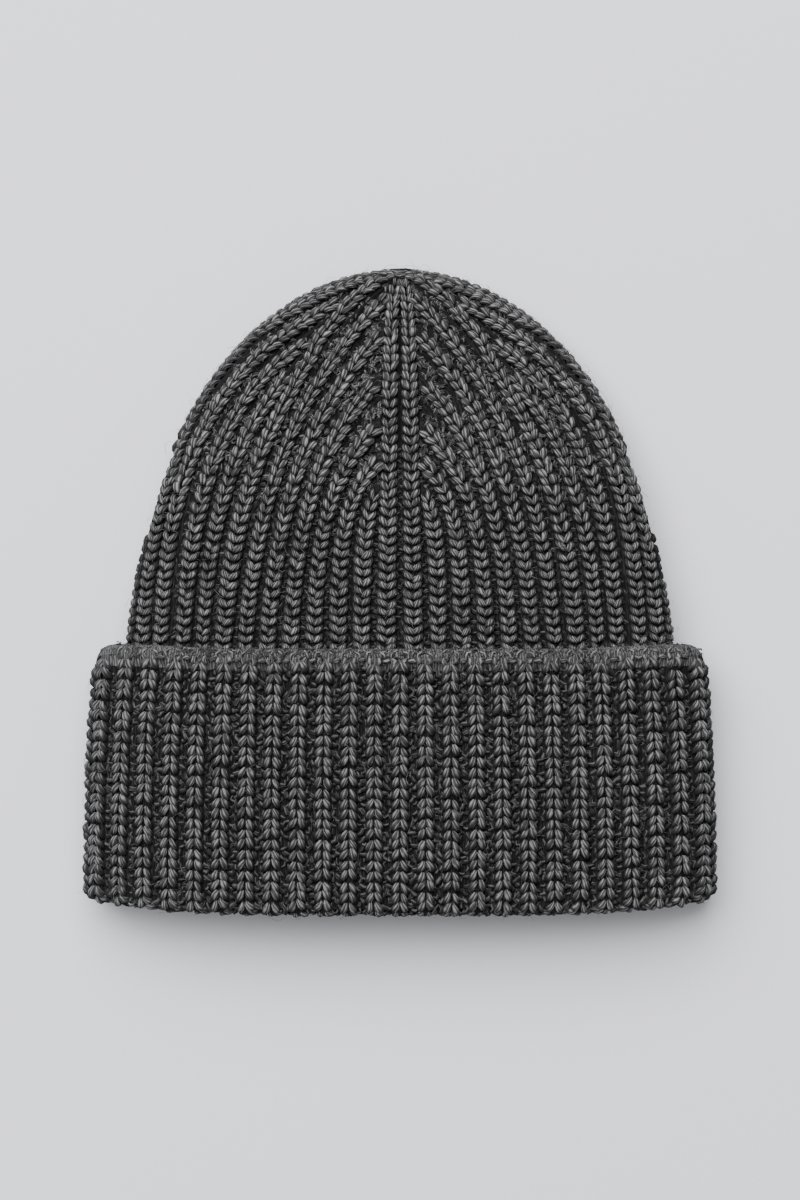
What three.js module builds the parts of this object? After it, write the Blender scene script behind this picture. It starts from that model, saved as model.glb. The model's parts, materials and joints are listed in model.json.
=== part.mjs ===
// A chunky ribbed wool hat with a deep turned-up cuff, lying on its back as a flat-laid knit lies.
// Millimetres. X runs across the hat, Y from the fold at the mouth (-Y) to the peak (+Y), Z up from the surface
// that it rests on. The origin is on that surface, under the middle of the hat's length and width.
//
// The knitting is 1x1 rib. Its ribs run straight up from the fold, lean in with the crown's outline, and end one
// after another beside the pair of ribs that climbs the middle of the front and of the back. The lower part of the
// same knitting is turned outwards and back up at the fold, and makes the cuff.

import * as THREE from "three";
import { mergeVertices } from "three/addons/utils/BufferGeometryUtils.js";

// The hat as it lies.
const LENGTH = 234.5; // from the fold to the peak
const CUFF_HEIGHT = 98;
const PEAK_Z = 9; // height of the peak over the surface
const CREASE_SHARE = 0.46; // the side crease lies this far up the thickness

// The knitted walls.
const CROWN_WALL = 4.6;
const CUFF_WALL = 5.2;
const RIB_DEPTH = 1.8; // from the crest of a rib to the bottom of a groove
const SLACK = 0.8; // air between the cuff and the crown's wall at the middle of the front
const JOINT_GAP = 0.3; // between the crown's lower end and the cuff's turned-in edge
const FLATTENED = 1; // how far the wool under the hat is pressed in where it rests

// The cuff's outer shape.
const CUFF_HALF_WIDTH = 114;
const CUFF_TAPER = 3.6; // lost from that half width between the fold and the top edge
const CUFF_TAPER_POWER = 2.2;
const CUFF_THICK = 35;
const CUFF_EDGE_RADIUS = 4.2; // round top edge
const FOLD_BOW = 4.7; // the fold rises this much towards the corners
const FOLD_BOW_AT = 104; // reached at this distance from the middle
const FOLD_BOW_POWER = 3.5;

// The crown's outer shape.
const TUBE_FLARE = 5.3; // extra half width at the fold, hidden inside the cuff
const CROWN_RISE = 2.4; // the front of the crown swells this much above the cuff's inner face
const RISE_LENGTH = 45; // over this length past the cuff's edge, in which the back also sinks to the surface
const FRONT_DOME_POWER = 4; // how late the front drops to the peak
const BACK_DOME_POWER = 14;
const FULL_WALL_REACH = 12.5; // where half the thickness is less, towards the peak, the walls thin with it

// Section powers: 2 is an ellipse, more is flatter with rounder sides.
const CUFF_SECTION = { front: 3.0, back: 4.5 };
const CROWN_SECTION = { front: 2.6, back: 3.6 };

// Ribs. A quarter of the hat, from the middle line to the side crease, is 13 ribs wide.
const RIBS_PER_QUARTER = 13;
// The groove outside each rib of the front's right quarter: x = half * (1 - (s / peak) ** shoulder) ** (1 / tip),
// where s is the height above the fold. Row 1 bounds the rib beside the middle line and leans in evenly, by the share
// lean of its half width. Rows 2 to 6 end on it, and the last row is the outline of the crown.
const GROOVES = [
  { half: 12.9, peak: LENGTH, shoulder: 30, tip: 1, lean: 0.54 },
  { half: 18.0, peak: 165.3, shoulder: 15, tip: 1 },
  { half: 27.0, peak: 176.0, shoulder: 9.8, tip: 1 },
  { half: 36.0, peak: 191.5, shoulder: 6.6, tip: 1 },
  { half: 45.0, peak: 211.0, shoulder: 4.9, tip: 1 },
  { half: 53.9, peak: 224.7, shoulder: 4.26, tip: 1 },
  { half: 61.8, peak: LENGTH, shoulder: 4.05, tip: 1 },
  { half: 69.8, peak: LENGTH, shoulder: 4.6, tip: 1 },
  { half: 76.0, peak: LENGTH, shoulder: 5.1, tip: 1 },
  { half: 83.2, peak: LENGTH, shoulder: 5.6, tip: 1.02 },
  { half: 91.0, peak: LENGTH, shoulder: 5.2, tip: 1.3 },
  { half: 100, peak: LENGTH, shoulder: 3.8, tip: 1.75 },
  { half: 102.7, peak: LENGTH, shoulder: 3.21, tip: 1.95 },
];
const SPINE = GROOVES[0];
const OUTLINE = GROOVES[GROOVES.length - 1];
const FIRST_END = 150; // height where the first rib beside the spine starts to be bound off
const LAST_ENDS_STEP = 0.0016; // the outer ribs close this share of the length apart, round the peak

// How the surface is faceted.
const CROWN_ROWS = 12;
const CROWN_CRESTS = [0, 0.2, 0.8]; // a groove and the two edges of a crest, in rib widths
const CUFF_CRESTS = [0.19, 0.31, 0.69, 0.81]; // crest and foot of a rib of the cuff, foot and crest of the next
const RIBBED_FROM = CUFF_HEIGHT - 8; // below this the crown's wall is hidden in the cuff, and plain
const INNER_ROWS = 8;
const FOLD_STEPS = 5; // an odd number, so that one point lies at the very bottom of the fold

const WOOL = { color: 0x464648, roughness: 0.95, metalness: 0 };

const clamp = THREE.MathUtils.clamp;
const smoothstep = THREE.MathUtils.smoothstep;

// x of a groove's line at height s above the fold.
function grooveX(groove, s) {
  const share = clamp(s / groove.peak, 0, 1);
  const upright = 1 - (groove.lean ?? 0) * share;
  return groove.half * upright * Math.pow(1 - Math.pow(share, groove.shoulder), 1 / groove.tip);
}

// Height above the fold where groove number k ends on the spine rib, or near the peak if it runs all the way.
function grooveEnd(k) {
  if (k === 0) return FIRST_END;
  const latest = LENGTH * (1 - LAST_ENDS_STEP * (RIBS_PER_QUARTER - 1 - k));
  let low = FIRST_END;
  let high = Math.min(GROOVES[k].peak, latest);
  if (grooveX(GROOVES[k], high) > grooveX(SPINE, high)) return high;
  for (let i = 0; i < 40; i++) {
    const middle = (low + high) / 2;
    if (grooveX(GROOVES[k], middle) > grooveX(SPINE, middle)) low = middle;
    else high = middle;
  }
  return low;
}

// Depth of one half of a section at u, a share of its half width: 1 in the middle, 0 at the crease.
function sectionRise(u, power) {
  return Math.pow(Math.max(0, 1 - Math.pow(Math.min(1, Math.abs(u)), power)), 1 / power);
}

// The fold's corners lie higher than its middle, and the cuff and the wall inside it follow.
function bow(x, s) {
  const lift = FOLD_BOW * Math.pow(Math.abs(x) / FOLD_BOW_AT, FOLD_BOW_POWER);
  return lift * clamp(1 - s / CUFF_HEIGHT, 0, 1);
}

// A point of the hat from x, the height s above the fold and z, pressed flat where it meets the surface.
function lay(x, s, z) {
  return [x, s + bow(x, s) - LENGTH / 2, Math.max(0, z)];
}

// The crown's half width and its front, back and crease heights at s.
function crownSection(s) {
  const w = clamp(s / LENGTH, 0, 1);
  const inCuff = clamp(1 - s / CUFF_HEIGHT, 0, 1);
  const past = smoothstep(s, CUFF_HEIGHT, CUFF_HEIGHT + RISE_LENGTH);
  const tuck = CUFF_WALL + SLACK;
  const swell = CUFF_THICK - tuck + CROWN_RISE * past;
  const front = PEAK_Z + (swell - PEAK_Z) * Math.sqrt(1 - Math.pow(w, FRONT_DOME_POWER));
  const sunk = (tuck - FLATTENED) * (1 - past) - FLATTENED * past;
  const back = PEAK_Z - (PEAK_Z - sunk) * Math.sqrt(1 - Math.pow(w, BACK_DOME_POWER));
  return {
    half: grooveX(OUTLINE, s) + TUBE_FLARE * inCuff * inCuff,
    front,
    back,
    crease: back + (front - back) * CREASE_SHARE,
  };
}

// A point on the crown: u is the share of its half width, face is "front" or "back", inset the depth under the crests.
function crownPoint(u, s, face, inset) {
  const section = crownSection(s);
  const power = THREE.MathUtils.lerp(
    CUFF_SECTION[face],
    CROWN_SECTION[face],
    smoothstep(s, 0, CUFF_HEIGHT + RISE_LENGTH),
  );
  const outer = section[face] - section.crease;
  const reach = outer * (1 - inset / Math.max(FULL_WALL_REACH, Math.abs(outer)));
  const x = u * section.half * (1 - inset / OUTLINE.half);
  const raised = s - inset * Math.pow(s / LENGTH, FRONT_DOME_POWER);
  return lay(x, raised, section.crease + reach * sectionRise(u, power));
}

// A point on the cuff's outer side.
function cuffPoint(u, s, face, inset) {
  const half = CUFF_HALF_WIDTH - CUFF_TAPER * Math.pow(clamp(s / CUFF_HEIGHT, 0, 1), CUFF_TAPER_POWER) - inset;
  const outer = { front: CUFF_THICK - inset, back: inset - FLATTENED };
  const crease = CUFF_THICK * CREASE_SHARE;
  return lay(u * half, s, crease + (outer[face] - crease) * sectionRise(u, CUFF_SECTION[face]));
}

// Shares u of the half width that lie at the given ribs, counted evenly round a quarter of the cuff.
function evenlyRound(face, ribs) {
  const samples = 600;
  const table = [{ u: 0, run: 0 }];
  let last = cuffPoint(0, 0, face, FLATTENED);
  for (let i = 1; i <= samples; i++) {
    const u = Math.sin(((i / samples) * Math.PI) / 2);
    const next = cuffPoint(u, 0, face, FLATTENED);
    const step = Math.hypot(next[0] - last[0], next[2] - last[2]);
    table.push({ u, run: table[i - 1].run + step });
    last = next;
  }
  const whole = table[samples].run;
  return ribs.map((rib) => {
    const run = (Math.abs(rib) / RIBS_PER_QUARTER) * whole;
    const i = Math.max(1, table.findIndex((row) => row.run >= run - 1e-9));
    const share = (run - table[i - 1].run) / (table[i].run - table[i - 1].run);
    return Math.sign(rib) * THREE.MathUtils.lerp(table[i - 1].u, table[i].u, share);
  });
}

// Triangles of a closed surface, gathered as points and turned into a geometry.
class Surface {
  constructor() {
    this.points = [];
  }
  triangle(a, b, c) {
    this.points.push(...a, ...b, ...c);
  }
  quad(a, b, c, d) {
    this.triangle(a, b, c);
    this.triangle(a, c, d);
  }
  // Quads between two equally long rows of points.
  strip(lower, upper, flip = false) {
    for (let i = 0; i + 1 < lower.length; i++) {
      if (flip) this.quad(lower[i + 1], lower[i], upper[i], upper[i + 1]);
      else this.quad(lower[i], lower[i + 1], upper[i + 1], upper[i]);
    }
  }
  // A band from a ring of few points to a ring with `times` as many.
  widen(few, many, times) {
    for (let i = 0; i < few.length; i++) {
      const next = (i + 1) % few.length;
      for (let j = 0; j < times; j++) {
        const from = many[i * times + j];
        const to = many[(i * times + j + 1) % many.length];
        if (j < times / 2) this.triangle(few[i], to, from);
        else this.triangle(few[next], to, from);
        if (j === Math.floor((times - 1) / 2)) this.triangle(few[i], few[next], to);
      }
    }
  }
  geometry() {
    const loose = new THREE.BufferGeometry();
    loose.setAttribute("position", new THREE.Float32BufferAttribute(this.points, 3));
    const merged = mergeVertices(loose, 1e-3);
    const index = merged.index.array;
    const kept = [];
    for (let i = 0; i < index.length; i += 3) {
      const [a, b, c] = [index[i], index[i + 1], index[i + 2]];
      if (a !== b && b !== c && c !== a) kept.push(a, b, c);
    }
    merged.setIndex(kept);
    merged.computeVertexNormals();
    return merged;
  }
}

// Rib coordinates of the lines that facet a quarter of the crown, from the middle line to the crease.
function crownLines() {
  const lines = [];
  for (let rib = 0; rib < RIBS_PER_QUARTER; rib++) {
    for (const offset of CROWN_CRESTS) lines.push(rib + offset);
  }
  return [...lines, RIBS_PER_QUARTER];
}

// Where groove k (1 to 13) passes at t, 0 at the lowest ribbed row and 1 at its end.
function groovePlan(k, t) {
  const end = grooveEnd(k - 1);
  const hurry = 1 + (k - 1) / (RIBS_PER_QUARTER - 1);
  const s = RIBBED_FROM + (end - RIBBED_FROM) * (1 - Math.pow(1 - t, hurry));
  const onSpine = k === 1 || t === 1;
  return { x: grooveX(onSpine ? SPINE : GROOVES[k - 1], s), s };
}

// The same for any rib coordinate from 1 to 13, between two grooves.
function ribPlan(line, t) {
  const k = Math.min(RIBS_PER_QUARTER - 1, Math.floor(line));
  const [low, high] = [groovePlan(k, t), groovePlan(k + 1, t)];
  const share = line - k;
  return { x: low.x + (high.x - low.x) * share, s: low.s + (high.s - low.s) * share };
}

function insetOf(line) {
  return Number.isInteger(line) ? RIB_DEPTH : 0;
}

// A ribbed point on one quarter of the crown. The relief runs out at the very peak, where all ribs meet.
function ribbed(plan, inset, face, side) {
  if (LENGTH - plan.s < 1e-6) return lay(0, LENGTH, PEAK_Z);
  const share = plan.x / grooveX(OUTLINE, plan.s);
  const u = share > 1 - 1e-9 ? 1 : share;
  return crownPoint(side * u, plan.s, face, inset);
}

function crown() {
  const surface = new Surface();
  const lines = crownLines();
  const spineLines = lines.filter((line) => line <= 1);
  const fanLines = lines.filter((line) => line >= 1);
  const innerU = lines.filter((line) => Number.isInteger(line)).map((line) => line / RIBS_PER_QUARTER);
  const lowest = CUFF_WALL + SLACK + JOINT_GAP;
  const rim = { outer: [], inner: [] };

  for (const face of ["front", "back"]) {
    for (const side of [1, -1]) {
      const flip = (face === "front") !== (side === 1);
      const fanRow = (t) => fanLines.map((line) => ribbed(ribPlan(line, t), insetOf(line), face, side));
      for (let row = 0; row < CROWN_ROWS; row++) {
        surface.strip(fanRow(row / CROWN_ROWS), fanRow((row + 1) / CROWN_ROWS), flip);
      }
      // The spine rib climbs past the ends of all the others.
      const spineEdge = [];
      for (let row = 0; row <= CROWN_ROWS; row++) {
        spineEdge.push({ plan: groovePlan(1, row / CROWN_ROWS), inset: RIB_DEPTH });
      }
      for (const line of fanLines.slice(1)) spineEdge.push({ plan: ribPlan(line, 1), inset: insetOf(line) });
      const spineRow = ({ plan, inset }) =>
        spineLines.map((line) => {
          const depth = line === 1 ? inset : insetOf(line);
          return ribbed({ x: plan.x * line, s: plan.s }, depth, face, side);
        });
      for (let i = 0; i + 1 < spineEdge.length; i++) {
        surface.strip(spineRow(spineEdge[i]), spineRow(spineEdge[i + 1]), flip);
      }
      // Plain wall down to the fold, hidden in the cuff.
      const ribbedBase = [...spineRow(spineEdge[0]), ...fanRow(0).slice(1)];
      const shares = lines.map((line) => {
        const plan = line < 1 ? { x: groovePlan(1, 0).x * line, s: RIBBED_FROM } : ribPlan(line, 0);
        return plan.x / grooveX(OUTLINE, plan.s);
      });
      const plainBase = shares.map((u) => crownPoint(side * u, lowest, face, 0));
      surface.strip(plainBase, ribbedBase, flip);
      // The inner face, in plain rings up to a point under the peak.
      const innerRow = (row) => {
        const share = 1 - Math.pow(1 - row / INNER_ROWS, 2);
        const s = lowest + (LENGTH - lowest) * share;
        return innerU.map((v) => crownPoint(side * Math.sin((v * Math.PI) / 2), s, face, CROWN_WALL));
      };
      for (let row = 0; row < INNER_ROWS; row++) surface.strip(innerRow(row), innerRow(row + 1), !flip);
      rim.outer.push({ face, side, points: plainBase });
      rim.inner.push({ face, side, points: innerRow(0) });
    }
  }
  const times = CROWN_CRESTS.length;
  surface.widen(ringOf(rim.inner), ringOf(rim.outer), times);
  return surface.geometry();
}

// Joins the rows of four quarters into one ring: front middle, right crease, back middle, left crease.
function ringOf(quarters) {
  const row = (face, side) => quarters.find((q) => q.face === face && q.side === side).points;
  return [
    ...row("front", 1).slice(0, -1),
    ...row("back", 1).slice().reverse().slice(0, -1),
    ...row("back", -1).slice(0, -1),
    ...row("front", -1).slice().reverse().slice(0, -1),
  ];
}

// The columns of the cuff: u, face and depth of each line of its ribs, once round the hat.
function cuffColumns() {
  const columns = [];
  const quarters = [
    { face: "front", side: 1, ribs: [0, 13] },
    { face: "back", side: 1, ribs: [13, 0] },
    { face: "back", side: -1, ribs: [0, 13] },
    { face: "front", side: -1, ribs: [13, 0] },
  ];
  for (const { face, side, ribs: [from, to] } of quarters) {
    const step = Math.sign(to - from);
    for (let rib = from; rib !== to; rib += step) {
      // The second half of this rib and the first half of the next.
      const half = CUFF_CRESTS.map((share) => rib + step * share);
      const [crestOut, foot, nextFoot, nextCrest] = evenlyRound(face, half);
      columns.push({ u: side * crestOut, face, inset: 0 });
      columns.push({ u: side * foot, face, inset: RIB_DEPTH });
      columns.push({ u: side * nextFoot, face, inset: RIB_DEPTH });
      columns.push({ u: side * nextCrest, face, inset: 0 });
    }
  }
  return columns;
}

// The closed profile of the cuff in one column, from its top edge down, round the fold and back up inside.
function cuffProfile({ u, face, inset }) {
  const top = CUFF_HEIGHT;
  const round = CUFF_EDGE_RADIUS;
  const bevel = round * (1 - Math.SQRT1_2);
  const legEnd = CUFF_WALL + SLACK;
  const outer = [
    cuffPoint(u, top, face, CUFF_WALL * 0.75),
    cuffPoint(u, top - bevel, face, inset * 0.6 + bevel),
    cuffPoint(u, top - round, face, inset),
    cuffPoint(u, top / 2, face, inset),
  ];
  const inside = crownPoint(u, legEnd, face, CROWN_WALL);
  const outside = cuffPoint(u, legEnd, face, 0);
  const fold = [];
  for (let i = 0; i < FOLD_STEPS; i++) {
    const angle = (Math.PI * (i + 0.2)) / (FOLD_STEPS - 0.6);
    const radius = Math.hypot(outside[0] - inside[0], outside[2] - inside[2]) / 2;
    const keep = 1 - inset / radius;
    const across = (keep * Math.cos(angle)) / 2;
    const x = (outside[0] + inside[0]) / 2 + across * (outside[0] - inside[0]);
    const z = (outside[2] + inside[2]) / 2 + across * (outside[2] - inside[2]);
    fold.push(lay(x, legEnd - radius * keep * Math.sin(angle) - (legEnd - radius) * Math.sin(angle), z));
  }
  return [
    ...outer,
    ...fold,
    inside,
    crownPoint(u, legEnd, face, 0),
    cuffPoint(u, legEnd, face, CUFF_WALL),
    cuffPoint(u, top - bevel, face, CUFF_WALL),
  ];
}

function cuff() {
  const surface = new Surface();
  const profiles = cuffColumns().map(cuffProfile);
  profiles.forEach((profile, i) => {
    const next = profiles[(i + 1) % profiles.length];
    surface.strip([...profile, profile[0]], [...next, next[0]]);
  });
  return surface.geometry();
}

function named(name, geometry) {
  const mesh = new THREE.Mesh(geometry, new THREE.MeshStandardMaterial(WOOL));
  mesh.name = name;
  return mesh;
}

const hat = new THREE.Group();
hat.add(named("crown", crown()));
hat.add(named("cuff", cuff()));

export default hat;
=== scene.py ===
# %% [markdown]
# # A chunky ribbed wool hat
#
# The hat lies on its back on a pale surface and is seen from straight above. It is knitted in heavy charcoal wool in
# 1x1 rib, and its lower part is turned up to make a deep cuff. Everything that makes it look like wool is small: each
# stitch is a V of plump yarn with pale fibres in it. So this lesson builds the hat stitch by stitch on the shape that
# the imported model gives, and lets light and shadow between the stitches do the rest, with shade also painted into
# the wool where yarn lies under yarn, in the grooves and on the cuff, and a highlight painted on its top edge.

# %% Start from the imported model
import json
import math

import bmesh
import bpy
import numpy as np
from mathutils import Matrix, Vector

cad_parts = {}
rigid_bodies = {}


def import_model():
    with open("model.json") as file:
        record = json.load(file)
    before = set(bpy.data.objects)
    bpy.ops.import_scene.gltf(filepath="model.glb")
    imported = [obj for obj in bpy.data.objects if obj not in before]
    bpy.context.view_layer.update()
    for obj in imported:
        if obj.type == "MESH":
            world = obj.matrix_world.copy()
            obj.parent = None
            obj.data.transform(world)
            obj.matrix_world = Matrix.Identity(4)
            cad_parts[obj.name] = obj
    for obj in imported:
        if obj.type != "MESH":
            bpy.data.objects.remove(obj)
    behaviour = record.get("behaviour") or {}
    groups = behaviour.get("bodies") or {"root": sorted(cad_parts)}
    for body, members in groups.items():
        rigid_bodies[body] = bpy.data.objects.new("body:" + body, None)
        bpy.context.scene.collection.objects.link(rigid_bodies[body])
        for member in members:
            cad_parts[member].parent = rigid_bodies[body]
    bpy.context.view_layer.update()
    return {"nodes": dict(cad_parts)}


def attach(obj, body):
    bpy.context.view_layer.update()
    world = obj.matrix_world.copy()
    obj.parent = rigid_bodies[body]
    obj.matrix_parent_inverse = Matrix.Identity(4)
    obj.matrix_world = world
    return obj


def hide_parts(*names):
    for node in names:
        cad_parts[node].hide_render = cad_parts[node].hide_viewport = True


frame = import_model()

print("packed nodes:", sorted(frame["nodes"]))

# %% [markdown]
# ## The hat's shape in numbers
#
# The knitted walls follow the same named sizes as the solids. The outline of the crown and the lines between its ribs
# are one family of curves: a half width that stays nearly constant up from the fold, and then closes towards the peak.
# Writing them as formulas means that a stitch can ask for its place anywhere on the hat.

# %% Sizes of the hat, in metres
MM = 0.001
LENGTH = 234.5 * MM
CUFF_HEIGHT = 98 * MM
RIM_RISE = 1.4 * MM
RISE_FROM, RISE_TO = 0.5, 0.92
CORNER_RADIUS = 4.5 * MM
ROUNDEST = 0.97
PEAK_Z = 9 * MM
CREASE_SHARE = 0.46
CROWN_WALL = 4.6 * MM
CUFF_WALL = 5.2 * MM
SLACK = 0.8 * MM
FLATTENED = 1 * MM
CUFF_HALF_WIDTH = 114 * MM
CUFF_TAPER = 3.6 * MM
CUFF_TAPER_POWER = 2.2
CUFF_THICK = 35 * MM
CUFF_EDGE_RADIUS = 4.2 * MM
FOLD_BOW = 4.7 * MM
FOLD_BOW_AT = 104 * MM
FOLD_BOW_POWER = 3.5
TUBE_FLARE = 5.3 * MM
CROWN_RISE = 2.4 * MM
RISE_LENGTH = 45 * MM
FRONT_DOME_POWER = 4
BACK_DOME_POWER = 14
FULL_WALL_REACH = 12.5 * MM
CUFF_SECTION = {"front": 3.0, "back": 4.5}
CROWN_SECTION = {"front": 2.6, "back": 3.6}
RIBS_PER_QUARTER = 13
FIRST_END = 150 * MM
LAST_ENDS_STEP = 0.0016
RIBBED_FROM = CUFF_HEIGHT - 8 * MM
FULL_RIB = 5 * MM
CLOSING_FROM = 224 * MM
SPINE_CLOSING = 0.75

SPINE_LEAN = 0.54
GROOVES = (
    # for each groove: its widest half width and the height of its peak in mm, and the bends at shoulder and tip
    (12.9, 234.5, 30, 1),
    (18.0, 165.3, 15, 1),
    (27.0, 176.0, 9.8, 1),
    (36.0, 191.5, 6.6, 1),
    (45.0, 211.0, 4.9, 1),
    (53.9, 224.7, 4.26, 1),
    (61.8, 234.5, 4.05, 1),
    (69.8, 234.5, 4.6, 1),
    (76.0, 234.5, 5.1, 1),
    (83.2, 234.5, 5.6, 1.02),
    (91.0, 234.5, 5.2, 1.3),
    (100.0, 234.5, 3.8, 1.75),
    (102.7, 234.5, 3.21, 1.95),
)
print(len(GROOVES), "groove lines on each quarter")


# %% Lines on the crown
def groove_x(k, s):
    """Distance of groove k (1 to 13) from the middle line, at the height s above the fold."""
    half, peak, shoulder, tip = GROOVES[k - 1]
    share = np.clip(s / (peak * MM), 0, 1)
    lean = 1 - SPINE_LEAN * share if k == 1 else 1
    return half * MM * lean * (1 - share**shoulder) ** (1 / tip)


def outline_x(s):
    return groove_x(RIBS_PER_QUARTER, s)


def groove_end(k):
    """Height where groove k ends on the spine rib, or near the peak."""
    if k == 1:
        return FIRST_END
    latest = LENGTH * (1 - LAST_ENDS_STEP * (RIBS_PER_QUARTER - k))
    low, high = FIRST_END, min(GROOVES[k - 1][1] * MM, latest)
    if groove_x(k, high) > groove_x(1, high):
        return high
    for _ in range(40):
        middle = (low + high) / 2
        if groove_x(k, middle) > groove_x(1, middle):
            low = middle
        else:
            high = middle
    return low


def groove_plan(k, t):
    """x and s of groove k, for t from 0 at the cuff to 1 at its end."""
    hurry = 1 + (k - 1) / (RIBS_PER_QUARTER - 1)
    s = RIBBED_FROM + (groove_end(k) - RIBBED_FROM) * (1 - (1 - t) ** hurry)
    x = groove_x(k, s)
    if k > 1:
        x = np.where(t >= 1, groove_x(1, s), x)
    return x, s


def rib_plan(line, t):
    """The same for a rib coordinate from 1 to 13, which may change along the line."""
    line = line + 0 * t
    k = np.clip(np.floor(line).astype(int), 1, RIBS_PER_QUARTER - 1)
    plans = [groove_plan(number, t) for number in range(1, RIBS_PER_QUARTER + 1)]
    x, s = (np.stack([plan[i] for plan in plans]) for i in range(2))
    at = np.arange(len(t))
    x0, x1, s0, s1 = x[k - 1, at], x[k, at], s[k - 1, at], s[k, at]
    return x0 + (x1 - x0) * (line - k), s0 + (s1 - s0) * (line - k)


print("rib lines end at", [round(groove_end(k) / MM) for k in range(1, 14)], "mm")


# %% Sections across the hat
def smooth(s, start, stop):
    t = np.clip((s - start) / (stop - start), 0, 1)
    return t * t * (3 - 2 * t)


def section_rise(u, power):
    return np.maximum(0, 1 - np.minimum(1, np.abs(u)) ** power) ** (1 / power)


def lay(x, s, z):
    """Puts a point in the hat's frame, with the fold's corners lifted."""
    lift = FOLD_BOW * (np.abs(x) / FOLD_BOW_AT) ** FOLD_BOW_POWER
    y = s + lift * np.clip(1 - s / CUFF_HEIGHT, 0, 1) - LENGTH / 2
    return np.stack(np.broadcast_arrays(x, y, z), axis=-1).astype(float)


def crown_section(s, face):
    """Half width, crease height, reach and power of the crown's section at s."""
    w = np.clip(s / LENGTH, 0, 1)
    in_cuff = np.clip(1 - s / CUFF_HEIGHT, 0, 1)
    past = smooth(s, CUFF_HEIGHT, CUFF_HEIGHT + RISE_LENGTH)
    tuck = CUFF_WALL + SLACK
    swell = CUFF_THICK - tuck + CROWN_RISE * past
    front = PEAK_Z + (swell - PEAK_Z) * np.sqrt(1 - w**FRONT_DOME_POWER)
    sunk = (tuck - FLATTENED) * (1 - past) - FLATTENED * past
    back = PEAK_Z - (PEAK_Z - sunk) * np.sqrt(1 - w**BACK_DOME_POWER)
    crease = back + (front - back) * CREASE_SHARE
    mix = smooth(s, 0, CUFF_HEIGHT + RISE_LENGTH)
    power = CUFF_SECTION[face] + (CROWN_SECTION[face] - CUFF_SECTION[face]) * mix
    half = outline_x(s) + TUBE_FLARE * in_cuff**2
    reach = (front if face == "front" else back) - crease
    return half, crease, reach, power


def crown_point(u, s, face, inset=0.0):
    half, crease, outer, power = crown_section(s, face)
    reach = outer * (1 - inset / np.maximum(FULL_WALL_REACH, np.abs(outer)))
    x = u * half * (1 - inset / outline_x(0))
    raised = s - inset * (s / LENGTH) ** FRONT_DOME_POWER
    return lay(x, raised, crease + reach * section_rise(u, power))


def cuff_section(s, face, inset=0.0):
    taper = CUFF_TAPER * np.clip(s / CUFF_HEIGHT, 0, 1) ** CUFF_TAPER_POWER
    outer = CUFF_THICK - inset if face == "front" else inset - FLATTENED
    crease = CUFF_THICK * CREASE_SHARE
    return CUFF_HALF_WIDTH - taper - inset, crease, outer - crease, CUFF_SECTION[face]


def rim_rise(u):
    """How much higher the cuff's top edge is towards the sides."""
    return RIM_RISE * smooth(np.abs(u), RISE_FROM, RISE_TO)


def cuff_point(u, s, face, inset=0.0):
    """A point of the cuff, with the rise of its top edge and its round corners."""
    half, crease, reach, power = cuff_section(s, face, inset)
    place = lay(u * half, s, crease + reach * section_rise(u, power))
    past = np.clip((np.abs(u) - 1) * CUFF_HALF_WIDTH / CORNER_RADIUS + 1, 0, ROUNDEST)
    raised = rim_rise(u) - CORNER_RADIUS * (1 - np.sqrt(1 - past**2))
    place[..., 1] += raised * smooth(s, CUFF_HEIGHT / 2, CUFF_HEIGHT)
    return place


def unit(v):
    return v / np.maximum(np.linalg.norm(v, axis=-1, keepdims=True), 1e-12)


def square_to(v, axis):
    """The part of v that is square to a unit direction."""
    return v - axis * np.sum(v * axis, axis=-1, keepdims=True)


def read_rows(at, run, values):
    """Values of three columns at other places of the run."""
    return np.stack([np.interp(at, run, values[:, i]) for i in range(3)], axis=-1)


def above_fold(place):
    return place[..., 1] + LENGTH / 2


def section_normal(u, half, reach, power):
    """The outward direction of a section in its own plane."""
    across = np.sign(u) * np.abs(u) ** (power - 1) / half
    up = np.sign(reach) * section_rise(u, power) ** (power - 1) / np.abs(reach)
    return unit(np.stack(np.broadcast_arrays(across, 0 * across, up), axis=-1))


print("crown half width at the cuff:", round(float(outline_x(CUFF_HEIGHT)) / MM, 1), "mm")

# %% [markdown]
# ## Paths for the stitches
#
# In 1x1 rib every second column of stitches stands out as a rib, and the columns between lie back as grooves. A
# path runs up the middle of each rib, and the rows of stitches follow it. On the crown a rib lies between two
# groove lines. On the cuff a rib starts at the top edge, runs down the outside, turns round the fold and goes on up
# inside the hat, because it is the same knitting seen from its other side.


# %% A path with directions along, across and out
def smooth_path(points, outwards, step):
    """Resamples a dense path at uneven steps. Gives places, directions along it and out of the surface."""
    gaps = np.linalg.norm(np.diff(points, axis=0), axis=1)
    run = np.concatenate([[0], np.cumsum(gaps)])
    at, marks = step(0.0) * 0.5, []
    while at < run[-1]:
        marks.append(at)
        at += step(at / run[-1])
    directions = unit(np.gradient(points, run, axis=0))
    place, along, out = (read_rows(marks, run, values) for values in (points, directions, outwards))
    along = unit(along)
    return place, along, unit(square_to(out, along)), np.array(marks) / run[-1]


def on_crown(x, s, face, side, inset):
    """Places and outward directions on the crown, for arrays of x and s."""
    half, crease, reach, power = crown_section(s, face)
    u = side * np.clip(x / np.maximum(half, 1e-9), 0, 1)
    normal = section_normal(u, half, reach, power)
    in_section = np.stack([normal[..., 2], 0 * u, -normal[..., 0]], axis=-1)
    step = 0.5 * MM
    up = crown_point(u, np.minimum(s + step, LENGTH), face) - crown_point(u, s - step, face)
    out = unit(np.cross(up, in_section))
    out *= np.sign(np.sum(out * normal, axis=-1, keepdims=True))
    return crown_point(u, s, face, inset), out


PATH_SAMPLES = 240
SPINE_TOP = LENGTH * 0.996


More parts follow.
